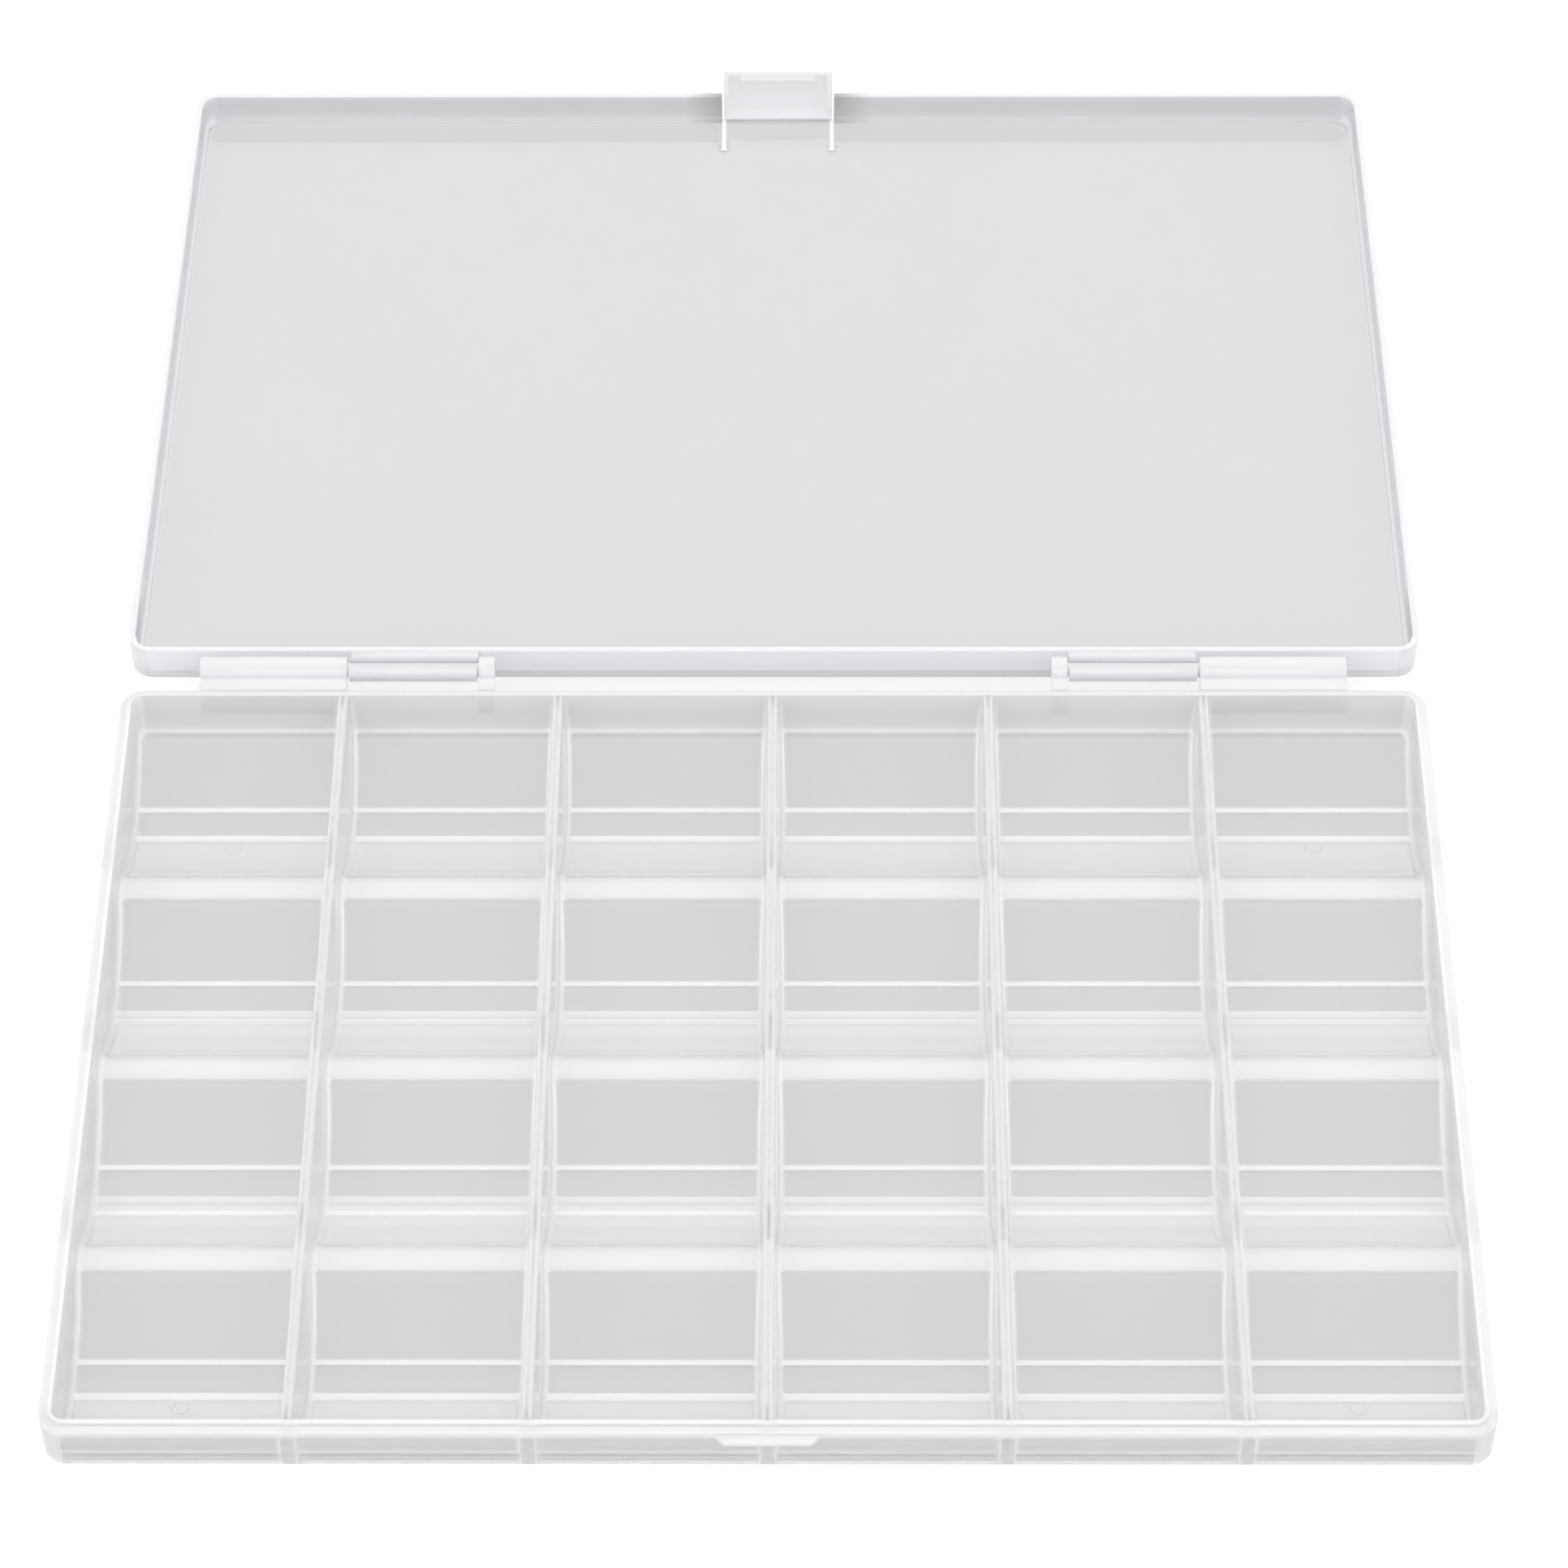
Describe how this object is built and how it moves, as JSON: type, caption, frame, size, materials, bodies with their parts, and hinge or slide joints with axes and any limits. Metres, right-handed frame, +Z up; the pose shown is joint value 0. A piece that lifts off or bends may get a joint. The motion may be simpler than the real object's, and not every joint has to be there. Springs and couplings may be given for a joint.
{
  "type": "compartment storage box",
  "caption": "Shallow clear plastic compartment box with round-bottomed cells in rows, a full-size hinged lid lying open, and a snap latch at the lid's front edge.",
  "frame": {"origin": "on the table, at the centre of the open box's footprint", "axes": "+X along the hinge, towards the right seen from the front; +Y from the base's front edge towards the open lid; +Z up"},
  "size_m": [0.195, 0.2768, 0.0152],
  "materials": {
    "clear_plastic": "clear, slightly milky moulded polypropylene with a soft gloss"
  },
  "bodies": {
    "base": {"base_hinge_left": "clear_plastic", "base_hinge_right": "clear_plastic", "divider_1": "clear_plastic", "divider_2": "clear_plastic", "divider_3": "clear_plastic", "divider_4": "clear_plastic", "divider_5": "clear_plastic", "front_catch": "clear_plastic", "front_wall": "clear_plastic", "left_end_wall": "clear_plastic", "rear_wall": "clear_plastic", "right_end_wall": "clear_plastic", "trough_1": "clear_plastic", "trough_2": "clear_plastic", "trough_3": "clear_plastic", "trough_4": "clear_plastic"},
    "lid": {"lid_front_wall_left": "clear_plastic", "lid_front_wall_right": "clear_plastic", "lid_hinge_clip_left": "clear_plastic", "lid_hinge_clip_right": "clear_plastic", "lid_left_wall": "clear_plastic", "lid_panel": "clear_plastic", "lid_rear_wall": "clear_plastic", "lid_right_wall": "clear_plastic"},
    "latch": {"latch_flap": "clear_plastic"}
  },
  "joints": [
    {"name": "lid_hinge", "type": "hinge", "parent": "base", "child": "lid", "pos_m": [0, -0.00097, 0.0133], "axis": [1, 0, 0], "range_deg": [0, 182.93]},
    {"name": "latch_flex", "type": "hinge", "parent": "lid", "child": "latch", "pos_m": [0, 0.13409, 0.00109], "axis": [1, 0, 0], "range_deg": [0, 7]}
  ]
}
